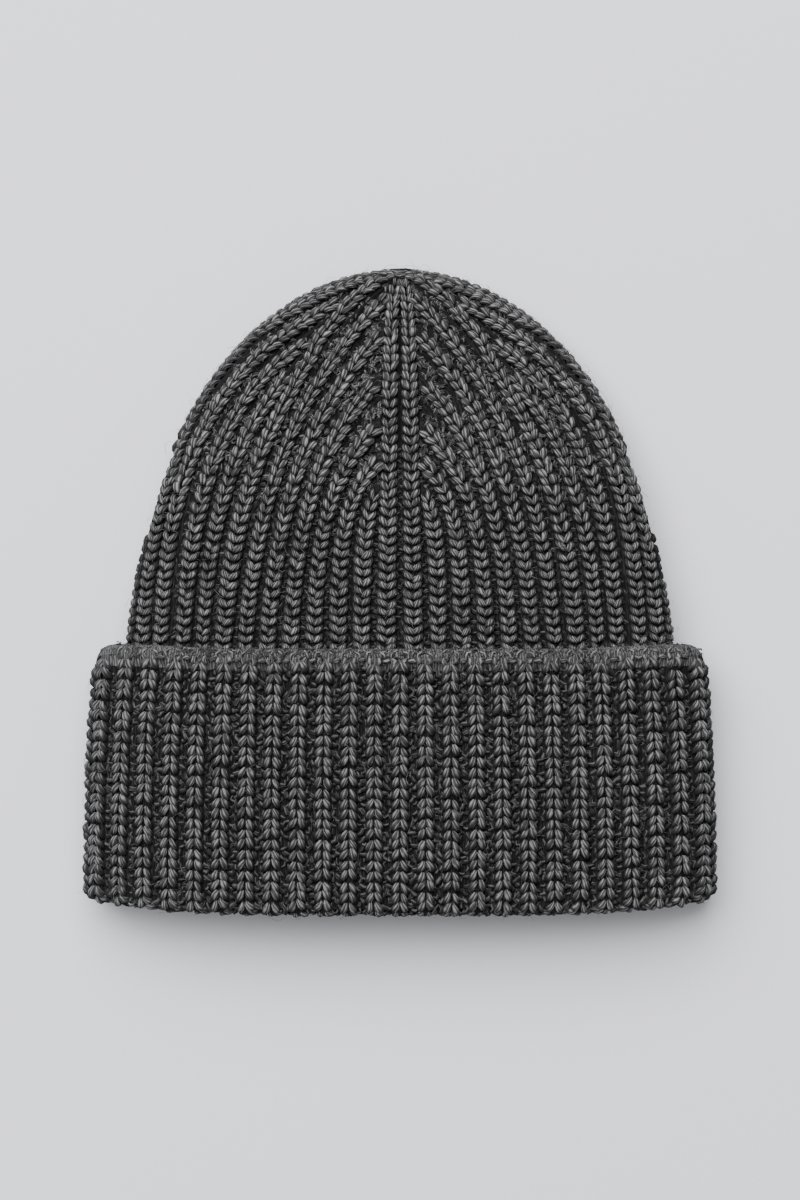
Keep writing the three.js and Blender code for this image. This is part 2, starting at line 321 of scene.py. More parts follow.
def crown_line(line, face, side, inset):
    """A line of the crown: the rib coordinate counts ribs from the middle line to the crease."""
    t = np.linspace(0, 1, PATH_SAMPLES)
    if np.max(line) <= 1:
        s = RIBBED_FROM + (SPINE_TOP - RIBBED_FROM) * t
        closing = 1 - SPINE_CLOSING * smooth(s, CLOSING_FROM, LENGTH)
        x = np.maximum(groove_x(1, s), FULL_RIB * closing) * line
    else:
        x, s = rib_plan(line, t)
    return on_crown(x, s, face, side, inset)


middle_rib = crown_line(0.5, "front", 1, 0)[0]
print("the middle rib climbs", round(float(middle_rib[-1, 1] - middle_rib[0, 1]) / MM, 1), "mm")


# %% Paths of the cuff's ribs
RING_SAMPLES = 601
LEG_SAMPLES = 60
FOLD_SAMPLES = 24
LEG_END = CUFF_WALL + SLACK


def evenly_round(face, rib):
    """Share of the cuff's half width at a rib number, counted evenly round a quarter."""
    u = np.sin(np.linspace(0, math.pi / 2, RING_SAMPLES))
    ring = cuff_point(u, 0 * u, face, FLATTENED)[:, [0, 2]]
    run = np.concatenate([[0], np.cumsum(np.linalg.norm(np.diff(ring, axis=0), axis=1))])
    return float(np.interp(rib / RIBS_PER_QUARTER * run[-1], run, u))


def round_the_cuff(number):
    """Face, side and share for a rib number from 0 to 52, clockwise from the middle of the front."""
    number = number % (4 * RIBS_PER_QUARTER)
    quarter, within = divmod(number, RIBS_PER_QUARTER)
    rib = within if quarter % 2 == 0 else RIBS_PER_QUARTER - within
    face = "front" if quarter in (0, 3) else "back"
    side = 1 if quarter < 2 else -1
    return face, side, evenly_round(face, rib)


def cuff_line(number, inset, top, deep):
    """From the height top down the outside of the cuff, round the fold, and up inside to the height deep."""
    face, side, u = round_the_cuff(number)
    u = u * side
    half, crease, reach, power = cuff_section(0, face)
    out = section_normal(np.float64(u), half, reach, power)
    down = np.linspace(top, LEG_END, LEG_SAMPLES)
    outside = cuff_point(u, down, face, inset)
    up = np.linspace(LEG_END, deep, LEG_SAMPLES)
    inside = crown_point(u, up, face, CROWN_WALL - inset)
    first, last = cuff_point(u, LEG_END, face), crown_point(u, LEG_END, face, CROWN_WALL)
    radius = np.linalg.norm((first - last)[[0, 2]]) / 2
    keep = 1 - inset / radius
    angle = np.linspace(0, math.pi, FOLD_SAMPLES + 2)[1:-1, None]
    across = (first - last) / 2
    across[1] = 0
    middle = (first + last) / 2
    fold = middle + keep * across * np.cos(angle)
    fold[:, 1] -= (LEG_END * keep * np.sin(angle))[:, 0]
    points = np.concatenate([outside, fold, inside])
    fold_out = np.cos(angle) * out
    fold_out[:, 1] -= np.sin(angle)[:, 0]
    outwards = np.concatenate([out + 0 * outside, fold_out, -out + 0 * inside])
    return points, outwards


points, _ = cuff_line(0, 0, CUFF_HEIGHT, CUFF_HEIGHT)
print("a cuff rib is", round(float(np.linalg.norm(np.diff(points, axis=0), axis=1).sum()) / MM), "mm long")

# %% [markdown]
# ## Yarn
#
# A leg of a stitch is a short piece of plump yarn: thin where it comes up between the legs of the stitch below,
# full in the middle, and thin again where it dives under the next one. It is a tube with an oval section along a
# bent path. Each tube also gets a UV map, round it and along it in millimetres, so that the fibres in the wool can
# follow the yarn. Each point also says how much of the pale fibre shows there, and carries painted shade: the parts
# that lie under other yarn are painted dark. A few variants with small seeded differences keep the rows from looking
# stamped.


# %% A closed tube of yarn along a short path
# painted shade on the side of a tube that lies under other yarn: how dark it gets, and over which part of the way
# round
TUCK_PAINTED_SHADE = 0.95
TUCK_SHADE_FROM, TUCK_SHADE_TO = 0.15, 0.85


def yarn(path, radii, sides, shown=1.0, shaded_side=None, hand=1, wind=0.0):
    """Points, faces, UVs and pale shares, with painted shade in them, of a tube. The path has along as y and outwards
    as z, in metres.

    The pale share is one number or one for each point of the path; on the stitches it holds painted shade where the
    yarn dives under other yarn. The direction of the shaded side lies in the plane of the fabric: the tube's side that
    faces it lies under other yarn and is painted darker, as shade. The fibres wind round the tube by wind a
    millimetre, and hand,
    1 or -1, mirrors them.
    """
    path, radii = np.asarray(path, float), np.asarray(radii, float)
    if radii.ndim == 1:
        radii = np.stack([radii, radii], axis=-1)
    along = unit(np.gradient(path, axis=0))
    across = unit(np.cross(along, np.broadcast_to([0.0, 0.0, 1.0], along.shape)))
    out = unit(np.cross(across, along))
    turn = (np.arange(sides) / sides) * 2 * math.pi - math.pi / 2
    rings = (
        path[:, None]
        + across[:, None] * (np.cos(turn)[None, :, None] * radii[:, 0, None, None])
        + out[:, None] * (np.sin(turn)[None, :, None] * radii[:, 1, None, None])
    )
    run = np.concatenate([[0], np.cumsum(np.linalg.norm(np.diff(path, axis=0), axis=1))])
    girth = 2 * math.pi * radii.mean()
    verts = [tuple(p) for ring in rings for p in ring]
    faces, uvs = [], []
    for i in range(len(path) - 1):
        for j in range(sides):
            k = (j + 1) % sides
            faces.append((i * sides + j, i * sides + k, (i + 1) * sides + k, (i + 1) * sides + j))
            low, high = run[i] / MM, run[i + 1] / MM
            left, right = hand * girth * j / sides / MM, hand * girth * (j + 1) / sides / MM
            below, above = wind * low, wind * high
            uvs += [(left + below, low), (right + below, low), (right + above, high), (left + above, high)]
    for ring, flip in ((0, True), (len(path) - 1, False)):
        cap = [ring * sides + j for j in range(sides)]
        faces.append(tuple(reversed(cap)) if flip else tuple(cap))
        uvs += [(0.0, run[ring] / MM)] * sides
    shown = np.asarray(shown, float).reshape(-1, 1) * np.ones((len(path), sides))
    # paint shade on the side of the tube that lies under other yarn
    if shaded_side is not None:
        facing = np.sum(unit(rings - path[:, None])[..., :2] * unit(np.array(shaded_side, float)), axis=-1)
        shown = shown * (1 - TUCK_PAINTED_SHADE * smooth(facing, TUCK_SHADE_FROM, TUCK_SHADE_TO))
    return verts, faces, uvs, list(shown.ravel())


def yarn_mesh(name, verts, faces, uvs):
    """A mesh with the UV map that the wool follows."""
    mesh = bpy.data.meshes.new(name)
    mesh.from_pydata(verts, [], faces)
    mesh.uv_layers.new(name="yarn").data.foreach_set("uv", np.array(uvs, float).ravel())
    return mesh


def finish_mesh(mesh, **values):
    """Smooth shading, and a number stored on each point under each of the names given."""
    for label, value in values.items():
        mesh.attributes.new(label, "FLOAT", "POINT").data.foreach_set("value", value)
    mesh.polygons.foreach_set("use_smooth", [True] * len(mesh.polygons))


def yarn_object(name, tubes):
    """One mesh object from several tubes."""
    verts, faces, uvs, shown = [], [], [], []
    for tube_verts, tube_faces, tube_uvs, tube_shown in tubes:
        start = len(verts)
        verts += tube_verts
        faces += [tuple(start + i for i in face) for face in tube_faces]
        uvs += tube_uvs
        shown += tube_shown
    mesh = yarn_mesh(name, verts, faces, uvs)
    finish_mesh(mesh, shown=shown)
    mesh.validate()
    return bpy.data.objects.new(name, mesh)


# %% The legs of the stitches
CROWN_LEG = (
    # across, along, out, width, thickness, pale share with painted shade at the ends: in shares of half a rib, a row
    # and the yarn
    (0.00, -0.42, -0.34, 0.80, 0.80, 0.22),
    (0.20, -0.33, -0.04, 0.95, 0.95, 0.62),
    (0.42, -0.20, 0.06, 1.00, 1.00, 1.00),
    (0.63, -0.06, 0.00, 1.00, 1.00, 0.82),
    (0.77, 0.14, -0.26, 0.90, 0.90, 0.16),
    (0.76, 0.66, -0.85, 0.60, 0.60, 0.00),
)
UPPER_LEG = (
    (0.37, -0.46, -0.60, 0.55, 0.60, 0.20),
    (0.42, -0.33, -0.06, 0.90, 0.90, 0.90),
    (0.49, -0.09, 0.10, 1.04, 1.00, 1.00),
    (0.57, 0.16, 0.02, 1.00, 1.00, 0.80),
    (0.64, 0.38, -0.30, 0.88, 0.88, 0.20),
    (0.68, 0.74, -1.15, 0.50, 0.60, 0.00),
)
MIDDLE_LEG = tuple(
    tuple((a + b) / 2 for a, b in zip(low, high)) for low, high in zip(CROWN_LEG, UPPER_LEG)
)
CUFF_LEG = (
    (0.22, -0.46, -0.46, 0.35, 0.40, 0.45),
    (0.29, -0.32, -0.02, 0.70, 0.76, 1.00),
    (0.43, -0.07, 0.12, 0.98, 0.98, 1.00),
    (0.56, 0.17, 0.02, 1.00, 1.00, 0.58),
    (0.66, 0.40, -0.42, 0.86, 0.92, 0.08),
    (0.76, 0.82, -1.20, 0.40, 0.62, 0.00),
)
CROWN_PITCH = 3.4 * MM
CUFF_PITCH = 3.7 * MM
STITCHES = {
    # leg, direction of its side painted in shade where it lies under other yarn, half width and yarn in mm, height of
    # a row, winding of the fibres
    "low": (CROWN_LEG, (0.35, -1.0), 3.5, 2.75, CROWN_PITCH, -0.9),
    "middle": (MIDDLE_LEG, (0.5, -0.9), 3.1, 2.55, CROWN_PITCH, -0.4),
    "upper": (UPPER_LEG, (0.5, -0.9), 2.65, 2.4, CROWN_PITCH, 0),
    "cuff": (CUFF_LEG, (0.75, 0.6), 3.3, 2.65, CUFF_PITCH, 0),
}

# %% A V stitch from two legs
rng = np.random.default_rng(11)
VARIANTS = 6
LOOSENESS = {"lean": 0.13, "lift": 0.078, "slide": 0.104, "plump": 0.091}
LEAN_FROM = 0.2


def v_stitch(name, kind, sides):
    """A V that opens along +y."""
    shape, (shade_across, shade_along), half_mm, thick_mm, pitch, wind = STITCHES[kind]
    half, thick = half_mm * MM, thick_mm * MM
    tubes = []
    for side in (-1, 1):
        lean, lift, slide, plump = (rng.normal(0, LOOSENESS[key]) for key in LOOSENESS)
        path, radii = [], []
        for across, along, out, wide, deep, _ in shape:
            x = half * (across + lean * 0.9 * (along - LEAN_FROM))
            path.append((side * x, pitch * (along + slide), thick * (out + lift)))
            radii.append((thick * wide * (1 + plump) * 0.5, thick * deep * 0.5))
        # the pale share along the leg, painted dark towards its ends as shade where the yarn dives under
        pale = [row[5] for row in shape]
        tubes.append(yarn(path, radii, sides, pale, (side * shade_across, shade_along), side, wind))
    return yarn_object(name, tubes)


def collect(name, objects):
    """A collection of variants for the stitching to pick from."""
    bag = bpy.data.collections.new(name)
    for item in objects:
        bag.objects.link(item)
    return bag


def stitch_set(name, kind, sides):
    return collect(name, [v_stitch(f"{name}_{number}", kind, sides) for number in range(VARIANTS)])


STITCH_SETS = (
    # name, kind, sides of the yarn: it is rounder on the stitches that face the viewer
    ("crown_v", "low", 8), ("cuff_v", "cuff", 8), ("middle_v", "middle", 8), ("upper_v", "upper", 8),
    ("crown_under_v", "low", 5), ("middle_under_v", "middle", 5), ("upper_under_v", "upper", 5),
    ("cuff_under_v", "cuff", 5), ("inner_v", "cuff", 4),
)
stitch_sets = {row[0]: stitch_set(*row) for row in STITCH_SETS}
triangles = sum(len(p.vertices) - 2 for p in stitch_sets["crown_v"].objects[0].data.polygons)
print("a stitch has", triangles, "triangles")


# %% Purl bumps for the grooves
PURL_WIDTH, PURL_YARN, PURL_PALE = 3.4 * MM, 1.5 * MM, 0.9
PURL_CURLS = (0.6, 0.7, 0.9, 1.4, 1.9, 2.3)


def purl_bump(name, width, thick, curl):
    """The bit of yarn that a stitch shows when it is seen from behind: a bar, or nearly a ring."""
    path, radii = [], []
    bend = 1 + rng.normal(0, 0.2)
    for share in (-1, -0.55, 0, 0.55, 1):
        arch = 1 - share * share
        angle = curl * share
        reach = width / 2 if curl < 1 else width * 0.32
        x, y = reach * math.sin(angle) / min(curl, 1), reach * bend * (math.cos(angle) - 0.5)
        path.append((x, y, thick * (arch - 0.9)))
        radii.append(thick * (0.28 + 0.2 * arch))
    return yarn_object(name, [yarn(path, radii, 3, PURL_PALE)])


bumps = [purl_bump(f"purl_{number}", PURL_WIDTH, PURL_YARN, curl) for number, curl in enumerate(PURL_CURLS)]
purl_set = collect("purls", bumps)

# %% [markdown]
# ## Wool as a material
#
# The yarn is a melange: dark fibres with fine pale ones spun in. They lie along the yarn, on the lower crown with a
# slight twist, so the colour follows the UV map. Lines along the yarn are the strands, a wavering sine of the way
# round it, and finer noise makes the hairs in them. The same streaks drive a bump, since single fibres catch the
# light. Each stitch carries its own tone, a random number that the stitching tree stores on it. Shader sums are
# written as Python expressions, through a small class that wraps a socket.


# %% Node trees as Python expressions
class Wire:
    """A socket that can be added, multiplied and so on."""

    def __init__(self, recipe, socket):
        self.recipe = recipe
        self.socket = socket

    def maths(self, operation, *terms):
        return self.recipe.make("ShaderNodeMath", {"operation": operation}, dict(enumerate(terms)))

    def __add__(self, other):
        return self.maths("ADD", self, other)

    def __sub__(self, other):
        return self.maths("SUBTRACT", self, other)

    def __mul__(self, other):
        return self.maths("MULTIPLY", self, other)

    def sine(self):
        return self.maths("SINE", self)

    def power(self, exponent):
        return self.maths("POWER", self, exponent)


class Recipe:
    """Adds nodes to one tree."""

    def __init__(self, tree):
        self.tree = tree

    def node(self, kind, settings=None, inputs=None):
        made = self.tree.nodes.new(kind)
        for name, value in (settings or {}).items():
            setattr(made, name, value)
        for key, value in (inputs or {}).items():
            if isinstance(value, Wire):
                self.tree.links.new(value.socket, made.inputs[key])
            else:
                made.inputs[key].default_value = value
        return made

    def out(self, made, key=0):
        return Wire(self, made.outputs[key])

    def make(self, kind, settings=None, inputs=None, key=0):
        """A node's output, for nodes of which one output is enough."""
        return self.out(self.node(kind, settings, inputs), key)


print("node helpers ready")


# %% The wool
STRAND_LINES, STRAND_WAVER = 6.2, 11.0
LINES_IN_BUMP = 0.6
TONE_LOW, TONE_RANGE = 0.75, 0.5
TONE_SHIFT = 61.0
ROUGHNESS, SPECULAR = 0.8, 0.06


def wool(name, dark, pale, bump_depth, streaks=3.0):
    """Dark wool with pale streaks. A higher number of streaks makes them narrower."""
    material = bpy.data.materials.new(name)
    material.use_nodes = True
    recipe = Recipe(material.node_tree)
    shader = material.node_tree.nodes["Principled BSDF"]
    split = recipe.node("ShaderNodeSeparateXYZ", {}, {0: recipe.make("ShaderNodeUVMap", {"uv_map": "yarn"})})
    around, along = recipe.out(split, 0), recipe.out(split, 1)
    tone, shown = (
        recipe.make("ShaderNodeAttribute", {"attribute_name": label}, {}, 2) for label in ("tone", "shown")
    )

    def fibres(across_scale, along_scale, offset, detail):
        stretched = {0: around * across_scale, 1: along * along_scale, 2: tone * TONE_SHIFT + offset}
        place = recipe.make("ShaderNodeCombineXYZ", {}, stretched)
        settings = {"Vector": place, "Scale": 1.0, "Detail": detail, "Roughness": 0.6}
        return recipe.make("ShaderNodeTexNoise", {}, settings)

    strands = fibres(0.8, 0.3, 0.0, 1.0)
    hairs = fibres(3.0, 0.75, 7.0, 0.0)
    lines = (around * STRAND_LINES + strands * STRAND_WAVER).sine() * 0.5 + 0.5
    paleness = lines.power(streaks) * (hairs * 2.2 - 0.15) + strands * 0.3 - 0.02
    # the pale share is dimmed by the painted shade that each mesh carries, and varied by the stitch's random tone
    share = paleness * shown * (tone * TONE_RANGE + TONE_LOW)
    colour = recipe.node("ShaderNodeMix", {"data_type": "RGBA"}, {0: share, 6: (*dark, 1), 7: (*pale, 1)})
    height = lines * LINES_IN_BUMP + hairs * (1 - LINES_IN_BUMP)
    bump = recipe.node("ShaderNodeBump", {}, {"Strength": 1.0, "Distance": bump_depth, "Height": height})
    links = material.node_tree.links
    links.new(colour.outputs[2], shader.inputs["Base Color"])
    links.new(bump.outputs[0], shader.inputs["Normal"])
    shader.inputs["Roughness"].default_value = ROUGHNESS
    shader.inputs["Specular IOR Level"].default_value = SPECULAR
    return material


# the crown and the cuff are one yarn: the cuff's wool is painted darker than the crown's, as painted shade
crown_wool = wool("crown_wool", (0.015, 0.015, 0.0155), (0.208, 0.208, 0.212), 0.35 * MM)
cuff_wool = wool("cuff_wool", (0.015, 0.015, 0.0155), (0.166, 0.166, 0.17), 0.3 * MM, 2.0)
# the edge's wool has paler darks: a painted highlight on the rolled top edge, where the light from above falls
edge_highlight_wool = wool("edge_highlight_wool", (0.024, 0.024, 0.0245), (0.168, 0.168, 0.172), 0.3 * MM, 2.0)
# the loops, purl bumps and walls are the same yarn painted darker and darker, as painted shade in the grooves and
# behind the stitches
loop_shade_wool = wool("loop_shade_wool", (0.010, 0.010, 0.0105), (0.15, 0.15, 0.153), 0.2 * MM)
purl_shade_wool = wool("purl_shade_wool", (0.009, 0.009, 0.0095), (0.082, 0.082, 0.084), 0.15 * MM)
wall_shade_wool = wool("wall_shade_wool", (0.004, 0.004, 0.0045), (0.022, 0.022, 0.0225), 0.02 * MM)
print("materials:", [material.name for material in bpy.data.materials])

# %% [markdown]
# ## The stitching tree
#
# Geometry Nodes set a stitch on every point of a cloud. Each point already carries how its stitch is turned and how
# large it is. The tree picks one of the variants, turns it a little more at random, gives it a tone, and makes the
# instances real, because the exported model has no instances.


# %% Build the tree once
TREE_INPUTS = {
    "Points": "Geometry",
    "Variants": "Collection",
    "Variant count": "Int",
    "Turn jitter": "Vector",
    "Size jitter": "Float",
    "Seed": "Int",
    "Material": "Material",
}


def stitching_tree():
    """The tree, and the identifiers of its inputs by their names."""
    tree = bpy.data.node_groups.new("stitching", "GeometryNodeTree")
    recipe, face, sockets = Recipe(tree), tree.interface, {}
    make = recipe.make
    for label, kind in TREE_INPUTS.items():
        made = face.new_socket(name=label, in_out="INPUT", socket_type="NodeSocket" + kind)
        sockets[label] = made.identifier
    face.new_socket(name="Knitting", in_out="OUTPUT", socket_type="NodeSocketGeometry")
    entry = tree.nodes.new("NodeGroupInput")
    given = {label: Wire(recipe, entry.outputs[label]) for label in TREE_INPUTS}

    def stored(name, kind):
        return make("GeometryNodeInputNamedAttribute", {"data_type": kind}, {"Name": name})

    def random(kind, low, high, offset):
        first, result = {"FLOAT_VECTOR": (0, 0), "FLOAT": (2, 1), "INT": (4, 2)}[kind]
        ends = {first: low, first + 1: high, "Seed": given["Seed"] + offset}
        return make("FunctionNodeRandomValue", {"data_type": kind}, ends, result)

    def vector(operation, inputs):
        return make("ShaderNodeVectorMath", {"operation": operation}, inputs)

    children = {"Collection": given["Variants"], "Separate Children": True, "Reset Children": True}
    bag = make("GeometryNodeCollectionInfo", {"transform_space": "ORIGINAL"}, children)
    swing = random("FLOAT_VECTOR", (-1, -1, -1), (1, 1, 1), 1)
    little_turn = make("FunctionNodeEulerToRotation", {}, {0: vector("MULTIPLY", {0: swing, 1: given["Turn jitter"]})})
    turns = {0: stored("turn", "QUATERNION"), 1: little_turn}
    turn = make("FunctionNodeRotateRotation", {"rotation_space": "LOCAL"}, turns)
    grow = random("FLOAT", -1.0, 1.0, 2) * given["Size jitter"] + 1.0
    settings = {
        "Points": given["Points"],
        "Instance": bag,
        "Pick Instance": True,
        "Instance Index": random("INT", 0, given["Variant count"] - 1, 3),
        "Rotation": turn,
        "Scale": vector("SCALE", {0: stored("size", "FLOAT_VECTOR"), "Scale": grow}),
    }
    placed = make("GeometryNodeInstanceOnPoints", {}, settings)
    tone = {"Geometry": placed, "Name": "tone", "Value": random("FLOAT", 0.0, 1.0, 4)}
    toned = make("GeometryNodeStoreNamedAttribute", {"data_type": "FLOAT", "domain": "INSTANCE"}, tone)
    real = make("GeometryNodeRealizeInstances", {}, {"Geometry": toned})
    dressed = make("GeometryNodeSetMaterial", {}, {"Geometry": real, "Material": given["Material"]})
    tree.links.new(dressed.socket, tree.nodes.new("NodeGroupOutput").inputs[0])
    return tree, sockets


knit_tree, knit_sockets = stitching_tree()
print("tree inputs:", list(knit_sockets))


# %% Use the tree on a cloud of places
def frames_to_turns(along, out):
    """Quaternions that take y to along and z to out."""
    across = unit(np.cross(along, out))
    m = np.stack([across, along, np.cross(across, along)], axis=-1)
    signs = np.array([(1, 1, 1), (1, -1, -1), (-1, 1, -1), (-1, -1, 1)])
    parts = np.sqrt(np.maximum(0, 1 + np.diagonal(m, axis1=1, axis2=2) @ signs.T)) / 2
    for axis in range(3):
        i, j = (axis + 2) % 3, (axis + 1) % 3
        parts[:, axis + 1] = np.copysign(parts[:, axis + 1], m[:, i, j] - m[:, j, i])
    return unit(parts)


scene_objects = bpy.context.scene.collection.objects


def triangle_count(mesh):
    sizes = np.empty(len(mesh.polygons), int)
    mesh.polygons.foreach_get("loop_total", sizes)
    return int((sizes - 2).sum())


def flatten_under(mesh):
    """Presses wool that would reach under the surface flat on it."""
    co = np.empty(len(mesh.vertices) * 3)
    mesh.vertices.foreach_get("co", co)
    co[2::3] = np.maximum(co[2::3], 0.05 * MM)
    mesh.vertices.foreach_set("co", co)
    mesh.update()


def knit(name, places, bag, material, seed, turn_jitter=(0.06, 0.06, 0.06), size_jitter=0.05):
    """Makes one piece of knitting from rows of (place, along, out, size)."""
    place, along, out, size = (np.concatenate([row[i] for row in places]) for i in range(4))
    cloud = bpy.data.meshes.new(name + "_points")
    cloud.from_pydata([tuple(p) for p in place], [], [])
    for label, kind, key, values in (
        ("turn", "QUATERNION", "value", frames_to_turns(along, out)),
        ("size", "FLOAT_VECTOR", "vector", size),
    ):
        cloud.attributes.new(label, kind, "POINT").data.foreach_set(key, values.ravel())
    piece = bpy.data.objects.new(name + "_points", cloud)
    scene_objects.link(piece)
    modifier = piece.modifiers.new("stitching", "NODES")
    modifier.node_group = knit_tree
    values = (bag, len(bag.objects), turn_jitter, size_jitter, seed, material)
    for label, value in zip(list(TREE_INPUTS)[1:], values):
        modifier[knit_sockets[label]] = value
    depsgraph = bpy.context.evaluated_depsgraph_get()
    mesh = bpy.data.meshes.new_from_object(piece.evaluated_get(depsgraph))
    mesh.name = name
    piece.modifiers.remove(modifier)
    bpy.data.objects.remove(piece)
    flatten_under(mesh)
    made = bpy.data.objects.new(name, mesh)
    scene_objects.link(made)
    print(name, len(place), "stitches,", triangle_count(mesh), "triangles")
    return made


# %% [markdown]
# ## The crown's stitches
#
# The V stitches of the crown open towards the peak. They come in three kinds. Above the cuff they are broad and
# pressed together, so that their legs join in the rib's middle. Near the peak, where the ribs lean together, they are
# narrow with longer legs that stay apart. Between the two is a mean of both, and where one kind gives way to the next
# differs from rib to rib. Ribs that end beside the middle ribs slip under them.

# %% How the ribs run near the peak
STITCH_DEPTH = 1.35 * MM
COURSES = {
    # heights in mm, and the rib coordinate there: some ribs end on the way, and the others close up
    7: (
        (190, 7.5), (202, 7.7), (209, 8.15), (217, 8.45),
        (221, 9.05), (227, 9.7), (231, 10.2), (234, 10.2),
    ),
    8: ((175, 8.5), (190, 8.3), (195, 8.3)),
    9: ((190, 9.5), (200, 9.35), (208, 8.85)),
    10: ((190, 10.6), (205, 10.53), (222, 10.2)),
    11: ((165, 11.5), (190, 11.9), (210, 12.0), (216, 11.75), (228, 11.5), (234, 11.4)),
    12: ((165, 12.5), (190, 12.7), (228, 12.7), (234, 12.5)),
}
ENDS = {8: 195 * MM, 9: 208 * MM, 10: 222 * MM}
NARROWEST = 2.4 * MM
WIDE_RIBS_FROM = 7
FAN_CLOSING = 0.2
FILL_HEIGHTS = np.array([90, 110, 142, 161, 187, 210, 234]) * MM
FILL = {
    # share of the space between two grooves that the rib fills, and its greatest width in mm, at those heights
    "spine": ((0.70, 0.71, 0.78, 0.80, 0.85, 0.86, 0.84), (6.9, 6.9, 6.7, 6.1, 5.8, 5.6, 5.0)),
    "fan": ((0.73, 0.74, 0.80, 0.82, 0.77, 0.74, 0.72), (6.8, 6.8, 6.3, 6.0, 5.5, 5.2, 4.8)),
}


def rib_course(rib):
    """Rib coordinate of a rib's middle along its path."""
    t = np.linspace(0, 1, PATH_SAMPLES)
    line = rib + 0.5 + 0 * t
    if rib in COURSES:
        marks, lines = zip(*COURSES[rib])
        for _ in range(6):
            line = np.interp(rib_plan(line, t)[1] / MM, marks, lines)
    return line


print("rib 9 at the peak runs at", round(float(rib_course(9)[-1]), 2))


# %% Widths and heights of the crown's stitches
def crown_rib(rib, face, side):
    """Rows of stitches on one rib of the crown: 0 is the rib beside the middle line."""
    course = rib_course(rib)
    points, out = crown_line(course, face, side, STITCH_DEPTH)
    left, _ = crown_line(np.maximum(course - 0.5, 1.001 if rib else 0.02), face, side, STITCH_DEPTH)
    right, _ = crown_line(np.minimum(course + 0.5, RIBS_PER_QUARTER), face, side, STITCH_DEPTH)

    def step(share):
        """Height of a row: less just above the cuff, and more on the outer ribs near the peak."""
        outer = rib / RIBS_PER_QUARTER
        stretch = (0.04 if rib == 0 else 0.08) * smooth(share, 0, 0.3)
        return CROWN_PITCH * (0.92 + stretch + 0.12 * outer * share)

    place, along, out, share = smooth_path(points, out, step)
    edge = square_to(read_rows(share, np.linspace(0, 1, len(left)), right - left), along)
    width = np.linalg.norm(edge, axis=-1)
    up = above_fold(place)
    fill, widest = (np.interp(up, FILL_HEIGHTS, row) for row in FILL["spine" if rib == 0 else "fan"])
    filled = np.minimum(width * fill, widest * MM)
    if rib == 0 or rib >= WIDE_RIBS_FROM:
        closing = (FAN_CLOSING if rib else SPINE_CLOSING) * smooth(up, CLOSING_FROM, 234 * MM)
        filled = np.maximum(filled, FULL_RIB * smooth(up, 160 * MM, 180 * MM) * (1 - closing))
    keep = filled > NARROWEST
    if rib in ENDS:
        keep &= up < ENDS[rib]
    elif 0 < rib < WIDE_RIBS_FROM - 1:
        keep &= share < 0.985
    long = np.array([step(w) for w in share]) / CROWN_PITCH
    size = np.stack([filled / MM, long, 0.9 + 0 * width], -1)
    return place[keep], along[keep], out[keep], size[keep]


crown_rows = {
    face: [crown_rib(rib, face, side) for rib in range(RIBS_PER_QUARTER) for side in (-1, 1)]
    for face in ("front", "back")
}
print("rows on the middle rib:", len(crown_rows["front"][0][0]))


# %% Knit the crown
# heights where the low stitches give way to the middle ones, and those to the upper ones
LEVELS = {"spine": (140 * MM, 186 * MM), "fan": (138 * MM, 158 * MM)}
LEVEL_SHIFT = 5 * MM
LEVEL_SETS = {
    # the width of a stitch in mm, and its variants on the front and on the back
    "low": (7.0, "crown_v", "crown_under_v"),
    "middle": (6.2, "middle_v", "middle_under_v"),
    "upper": (5.3, "upper_v", "upper_under_v"),
}
CROWN_JITTER = (0.07, 0.07, 0.08)


def part_of(rows, keep):
    mask = keep(*rows)
    return tuple(part[mask] for part in rows)


def at_level(face, level, width):
    """Rows of a face at a level: 0 has the broad stitches above the cuff, 2 the narrow ones near the peak."""
    chosen = []
    for number, rows in enumerate(crown_rows[face]):
        marks = np.array(LEVELS["spine" if number < 2 else "fan"]) + LEVEL_SHIFT * math.sin(2.4 * number)
        kept = part_of(rows, lambda place, *_: np.digitize(above_fold(place), marks) == level)
        chosen.append((*kept[:3], kept[3] / [width, 1, 1]))
    return chosen


crown_knitting = []
for face_number, face in enumerate(("front", "back")):
    for level, (label, (width, *names)) in enumerate(LEVEL_SETS.items()):
        rows, bag = at_level(face, level, width), stitch_sets[names[face_number]]
        crown_knitting.append(
            knit(f"crown_{label}_{face}", rows, bag, crown_wool, 1 + level, CROWN_JITTER, 0.06)
        )

# %% [markdown]
# ## The cuff's stitches
#
# The cuff is the lower part of the same knitting, turned over, so its V stitches open downwards and look like pairs
# of leaves. Its ribs are stretched apart by the wider shape, with dark grooves between them that show the purl side's
# small bumps. At the fold the yarn is pressed flat, so the stitches move inwards there.


# %% Rows of the cuff
CUFF_TOP = CUFF_HEIGHT - 5.8 * MM
INSIDE_DEPTH = 45 * MM
CUFF_STITCH_DEPTH = 1.3 * MM
ROUND = 4 * RIBS_PER_QUARTER
# how far things move inwards at the fold
PRESSED = {"stitches": 1.5 * MM, "purls": -0.8 * MM, "wall": -0.5 * MM}
TURNED_OVER = 0.35


def pressed(points, out, depth):
    """Moves a line of the cuff inwards where it goes round the fold."""
    return points - out * depth * np.clip(-out[:, 1:2], 0, 1)


def cuff_rib(number):
    points, out = cuff_line(number, CUFF_STITCH_DEPTH, CUFF_TOP, INSIDE_DEPTH)
    points = pressed(points, out, PRESSED["stitches"])
    place, along, out, _ = smooth_path(points, out, lambda share: CUFF_PITCH)
    return place, along, out, np.ones_like(place)


def is_outside(place, along, out, size):
    return (along[:, 1] < TURNED_OVER) & (place[:, 1] < 0)


